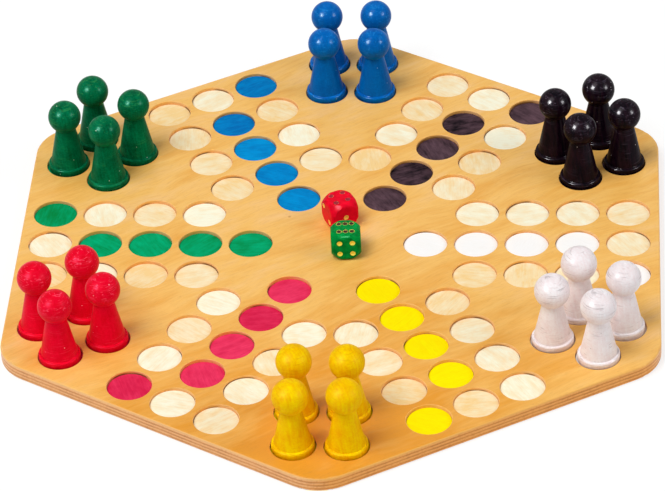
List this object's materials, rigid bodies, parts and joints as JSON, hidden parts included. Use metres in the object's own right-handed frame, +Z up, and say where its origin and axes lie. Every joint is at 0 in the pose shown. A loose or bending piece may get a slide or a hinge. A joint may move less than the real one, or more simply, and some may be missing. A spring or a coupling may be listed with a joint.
{
  "type": "ludo board game",
  "caption": "Hexagonal wooden ludo board with round recesses and coloured discs, turned peg pawns standing in the corner squares, and dice.",
  "frame": {"origin": "middle of the board's underside", "axes": "+Z up out of the playing face, +Y towards the corner with the blue pawns, +X towards the flat side at the end of the white arm"},
  "size_m": [0.3432, 0.3884, 0.0502],
  "materials": {
    "lacquered_plywood": "satin clear lacquer on beech plywood",
    "natural_maple": "sanded, thin clear lacquer",
    "white_stained_wood": "opaque white stain, matt",
    "black_stained_wood": "black-brown stain, matt",
    "blue_stained_wood": "blue stain, matt",
    "green_stained_wood": "green stain, matt",
    "red_stained_wood": "crimson stain, matt",
    "yellow_stained_wood": "yellow stain, matt",
    "white_painted_wood": "thin white paint, satin",
    "black_painted_wood": "dipped black paint, gloss",
    "blue_painted_wood": "dipped blue paint, gloss",
    "green_painted_wood": "dipped green paint, gloss",
    "red_painted_wood": "dipped red paint, gloss",
    "yellow_painted_wood": "dipped yellow paint, satin",
    "green_plastic": "moulded, glossy",
    "red_plastic": "moulded, glossy",
    "yellow_spot_paint": "thin enamel in the drilled hollows, worn on top"
  },
  "bodies": {
    "board": {"top_panel": "lacquered_plywood", "backing_panel": "lacquered_plywood", "natural_inlays": "natural_maple", "white_path_inlays": "white_stained_wood", "white_base_inlays": "white_stained_wood", "black_path_inlays": "black_stained_wood", "black_base_inlays": "black_stained_wood", "blue_path_inlays": "blue_stained_wood", "blue_base_inlays": "blue_stained_wood", "green_path_inlays": "green_stained_wood", "green_base_inlays": "green_stained_wood", "red_path_inlays": "red_stained_wood", "red_base_inlays": "red_stained_wood", "yellow_path_inlays": "yellow_stained_wood", "yellow_base_inlays": "yellow_stained_wood"},
    "white_pawn_1": {"white_pawn_1": "white_painted_wood"},
    "white_pawn_2": {"white_pawn_2": "white_painted_wood"},
    "white_pawn_3": {"white_pawn_3": "white_painted_wood"},
    "white_pawn_4": {"white_pawn_4": "white_painted_wood"},
    "black_pawn_1": {"black_pawn_1": "black_painted_wood"},
    "black_pawn_2": {"black_pawn_2": "black_painted_wood"},
    "black_pawn_3": {"black_pawn_3": "black_painted_wood"},
    "black_pawn_4": {"black_pawn_4": "black_painted_wood"},
    "blue_pawn_1": {"blue_pawn_1": "blue_painted_wood"},
    "blue_pawn_2": {"blue_pawn_2": "blue_painted_wood"},
    "blue_pawn_3": {"blue_pawn_3": "blue_painted_wood"},
    "blue_pawn_4": {"blue_pawn_4": "blue_painted_wood"},
    "green_pawn_1": {"green_pawn_1": "green_painted_wood"},
    "green_pawn_2": {"green_pawn_2": "green_painted_wood"},
    "green_pawn_3": {"green_pawn_3": "green_painted_wood"},
    "green_pawn_4": {"green_pawn_4": "green_painted_wood"},
    "red_pawn_1": {"red_pawn_1": "red_painted_wood"},
    "red_pawn_2": {"red_pawn_2": "red_painted_wood"},
    "red_pawn_3": {"red_pawn_3": "red_painted_wood"},
    "red_pawn_4": {"red_pawn_4": "red_painted_wood"},
    "yellow_pawn_1": {"yellow_pawn_1": "yellow_painted_wood"},
    "yellow_pawn_2": {"yellow_pawn_2": "yellow_painted_wood"},
    "yellow_pawn_3": {"yellow_pawn_3": "yellow_painted_wood"},
    "yellow_pawn_4": {"yellow_pawn_4": "yellow_painted_wood"},
    "green_die": {"green_die": "green_plastic", "green_die_spots": "yellow_spot_paint"},
    "red_die": {"red_die": "red_plastic", "red_die_spots": "yellow_spot_paint"}
  },
  "joints": [
    {"name": "white_pawn_1_lift", "type": "slide", "parent": "board", "child": "white_pawn_1", "axis": [0, 0, 1], "range_m": [0, 0.05]},
    {"name": "white_pawn_2_lift", "type": "slide", "parent": "board", "child": "white_pawn_2", "axis": [0, 0, 1], "range_m": [0, 0.05]},
    {"name": "white_pawn_3_lift", "type": "slide", "parent": "board", "child": "white_pawn_3", "axis": [0, 0, 1], "range_m": [0, 0.05]},
    {"name": "white_pawn_4_lift", "type": "slide", "parent": "board", "child": "white_pawn_4", "axis": [0, 0, 1], "range_m": [0, 0.05]},
    {"name": "black_pawn_1_lift", "type": "slide", "parent": "board", "child": "black_pawn_1", "axis": [0, 0, 1], "range_m": [0, 0.05]},
    {"name": "black_pawn_2_lift", "type": "slide", "parent": "board", "child": "black_pawn_2", "axis": [0, 0, 1], "range_m": [0, 0.05]},
    {"name": "black_pawn_3_lift", "type": "slide", "parent": "board", "child": "black_pawn_3", "axis": [0, 0, 1], "range_m": [0, 0.05]},
    {"name": "black_pawn_4_lift", "type": "slide", "parent": "board", "child": "black_pawn_4", "axis": [0, 0, 1], "range_m": [0, 0.05]},
    {"name": "blue_pawn_1_lift", "type": "slide", "parent": "board", "child": "blue_pawn_1", "axis": [0, 0, 1], "range_m": [0, 0.05]},
    {"name": "blue_pawn_2_lift", "type": "slide", "parent": "board", "child": "blue_pawn_2", "axis": [0, 0, 1], "range_m": [0, 0.05]},
    {"name": "blue_pawn_3_lift", "type": "slide", "parent": "board", "child": "blue_pawn_3", "axis": [0, 0, 1], "range_m": [0, 0.05]},
    {"name": "blue_pawn_4_lift", "type": "slide", "parent": "board", "child": "blue_pawn_4", "axis": [0, 0, 1], "range_m": [0, 0.05]},
    {"name": "green_pawn_1_lift", "type": "slide", "parent": "board", "child": "green_pawn_1", "axis": [0, 0, 1], "range_m": [0, 0.05]},
    {"name": "green_pawn_2_lift", "type": "slide", "parent": "board", "child": "green_pawn_2", "axis": [0, 0, 1], "range_m": [0, 0.05]},
    {"name": "green_pawn_3_lift", "type": "slide", "parent": "board", "child": "green_pawn_3", "axis": [0, 0, 1], "range_m": [0, 0.05]},
    {"name": "green_pawn_4_lift", "type": "slide", "parent": "board", "child": "green_pawn_4", "axis": [0, 0, 1], "range_m": [0, 0.05]},
    {"name": "red_pawn_1_lift", "type": "slide", "parent": "board", "child": "red_pawn_1", "axis": [0, 0, 1], "range_m": [0, 0.05]},
    {"name": "red_pawn_2_lift", "type": "slide", "parent": "board", "child": "red_pawn_2", "axis": [0, 0, 1], "range_m": [0, 0.05]},
    {"name": "red_pawn_3_lift", "type": "slide", "parent": "board", "child": "red_pawn_3", "axis": [0, 0, 1], "range_m": [0, 0.05]},
    {"name": "red_pawn_4_lift", "type": "slide", "parent": "board", "child": "red_pawn_4", "axis": [0, 0, 1], "range_m": [0, 0.05]},
    {"name": "yellow_pawn_1_lift", "type": "slide", "parent": "board", "child": "yellow_pawn_1", "axis": [0, 0, 1], "range_m": [0, 0.05]},
    {"name": "yellow_pawn_2_lift", "type": "slide", "parent": "board", "child": "yellow_pawn_2", "axis": [0, 0, 1], "range_m": [0, 0.05]},
    {"name": "yellow_pawn_3_lift", "type": "slide", "parent": "board", "child": "yellow_pawn_3", "axis": [0, 0, 1], "range_m": [0, 0.05]},
    {"name": "yellow_pawn_4_lift", "type": "slide", "parent": "board", "child": "yellow_pawn_4", "axis": [0, 0, 1], "range_m": [0, 0.05]},
    {"name": "green_die_lift", "type": "slide", "parent": "board", "child": "green_die", "axis": [0, 0, 1], "range_m": [0, 0.05]},
    {"name": "red_die_lift", "type": "slide", "parent": "board", "child": "red_die", "axis": [0, 0, 1], "range_m": [0, 0.05]}
  ]
}
